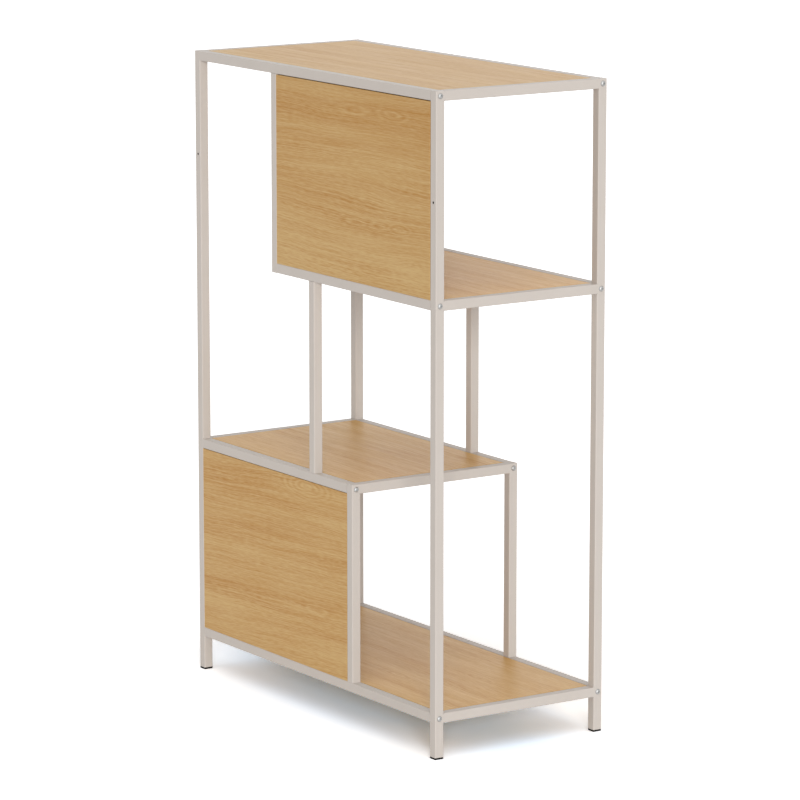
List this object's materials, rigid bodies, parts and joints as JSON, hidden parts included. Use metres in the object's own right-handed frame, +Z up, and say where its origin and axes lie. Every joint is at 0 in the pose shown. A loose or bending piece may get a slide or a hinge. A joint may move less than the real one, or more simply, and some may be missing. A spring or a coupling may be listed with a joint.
{
  "type": "staircase bookshelf",
  "caption": "Open shelving unit: square steel tube frame with offset shelves that step across it, wood boards and wood back panels behind the upper and lower boxes.",
  "frame": {"origin": "on the floor under the middle of the unit's footprint", "axes": "+Z up, +Y to the back (the wall side, with the panels), +X to the right seen from the front"},
  "size_m": [0.818, 0.368, 1.2],
  "materials": {
    "powder_coat": "satin",
    "oak_melamine": "matt",
    "foot_plastic": "matt",
    "zinc_fastener": "bright zinc",
    "plain_steel": "mill"
  },
  "bodies": {
    "root": {"front_left_leg": "powder_coat", "front_right_leg": "powder_coat", "rear_left_leg": "powder_coat", "rear_right_leg": "powder_coat", "left_top_side_rail": "powder_coat", "left_upper_shelf_side_rail": "powder_coat", "left_bottom_side_rail": "powder_coat", "right_top_side_rail": "powder_coat", "right_lower_shelf_side_rail": "powder_coat", "right_bottom_side_rail": "powder_coat", "front_top_rail": "powder_coat", "rear_top_rail": "powder_coat", "front_upper_shelf_rail": "powder_coat", "rear_upper_shelf_rail": "powder_coat", "front_lower_shelf_rail": "powder_coat", "rear_lower_shelf_rail": "powder_coat", "front_bottom_rail": "powder_coat", "rear_bottom_rail": "powder_coat", "front_upper_post": "powder_coat", "rear_upper_post": "powder_coat", "front_lower_post": "powder_coat", "rear_lower_post": "powder_coat", "front_middle_post": "powder_coat", "rear_middle_post": "powder_coat", "upper_cross_rail": "powder_coat", "lower_cross_rail": "powder_coat", "board_tabs": "powder_coat", "panel_tabs": "powder_coat", "corner_welds": "powder_coat", "top_board": "oak_melamine", "upper_shelf_board": "oak_melamine", "lower_shelf_board": "oak_melamine", "bottom_board": "oak_melamine", "upper_back_panel": "oak_melamine", "lower_back_panel": "oak_melamine", "front_left_foot_cap": "foot_plastic", "front_right_foot_cap": "foot_plastic", "rear_left_foot_cap": "foot_plastic", "rear_right_foot_cap": "foot_plastic", "frame_bolts": "zinc_fastener", "post_bolts": "zinc_fastener", "board_screws": "zinc_fastener", "panel_screws": "zinc_fastener", "rail_end_plugs": "plain_steel", "post_end_plugs": "plain_steel"}
  },
  "joints": []
}
